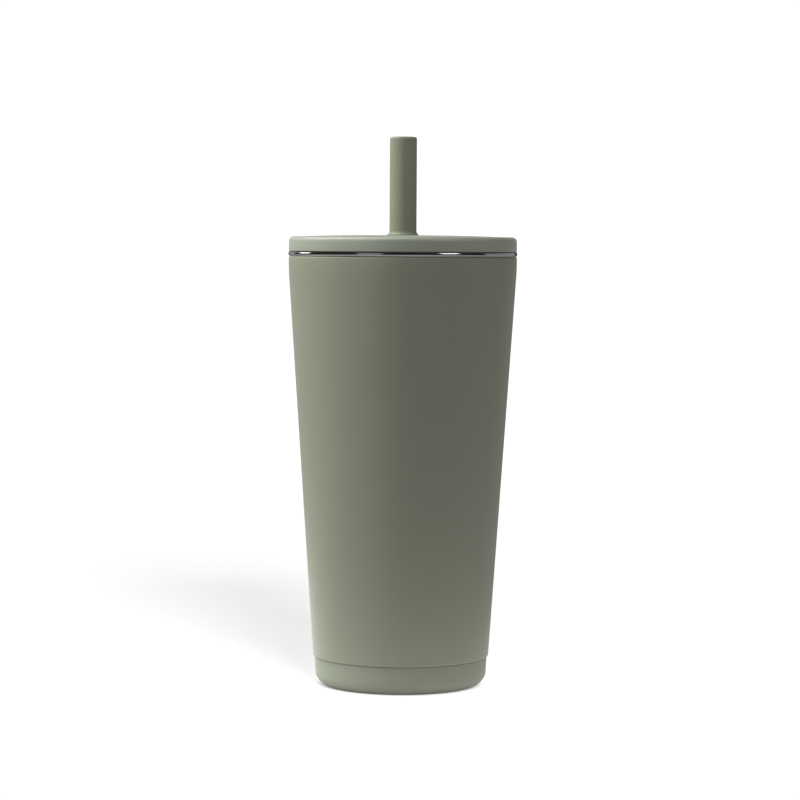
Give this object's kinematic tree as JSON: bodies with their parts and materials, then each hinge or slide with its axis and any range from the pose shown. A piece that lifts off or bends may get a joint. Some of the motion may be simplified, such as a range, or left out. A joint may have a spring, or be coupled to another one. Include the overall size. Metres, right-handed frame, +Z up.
{
  "type": "straw tumbler",
  "caption": "Tapered double-wall steel drinking cup with a flush press-in lid, an upright soft-tipped straw, a bright rolled rim and a silicone boot.",
  "frame": {"origin": "centre of the bounding box's bottom face, under the boot, on the cup's axis", "axes": "+Z up along the cup's axis, -Y towards the viewer's side, +Y towards the vent in the lid"},
  "size_m": [0.09, 0.09, 0.2163],
  "materials": {
    "powder_coat": "fine matte powder coat, sage green",
    "polished_steel": "polished stainless steel",
    "copper_foil": "bare copper foil",
    "getter_alloy": "dull sintered metal",
    "glass_solder": "dark fused glass",
    "boot_silicone": "soft matte silicone, sage green",
    "lid_plastic": "fine satin moulding, sage green",
    "plug_plastic": "satin moulding, pale sage green",
    "seal_silicone": "smooth silicone, sage green",
    "straw_plastic": "satin extrusion, pale sage green",
    "tip_silicone": "soft matte silicone, sage green"
  },
  "bodies": {
    "cup": {"outer_wall": "powder_coat", "outer_base": "polished_steel", "liner_wall": "polished_steel", "liner_base": "polished_steel", "foil_wrap": "copper_foil", "foil_disc": "copper_foil", "getter": "getter_alloy", "getter_clip": "polished_steel", "seal_bead": "glass_solder", "base_cover": "polished_steel"},
    "boot": {"base_boot": "boot_silicone"},
    "lid": {"lid_cover": "lid_plastic", "lid_plug": "plug_plastic", "lid_seal": "seal_silicone", "straw_bushing": "seal_silicone", "vent_valve": "seal_silicone"},
    "straw": {"straw_tube": "straw_plastic"},
    "tip": {"straw_tip": "tip_silicone"}
  },
  "joints": [
    {"name": "lid_lift", "type": "slide", "parent": "cup", "child": "lid", "axis": [0, 0, 1], "range_m": [0, 0.165]},
    {"name": "straw_pull", "type": "slide", "parent": "lid", "child": "straw", "axis": [0, 0, 1], "range_m": [0, 0.17]},
    {"name": "tip_pull", "type": "slide", "parent": "straw", "child": "tip", "axis": [0, 0, 1], "range_m": [0, 0.03]},
    {"name": "boot_pull", "type": "slide", "parent": "cup", "child": "boot", "axis": [0, 0, 1], "range_m": [-0.015, 0]}
  ]
}
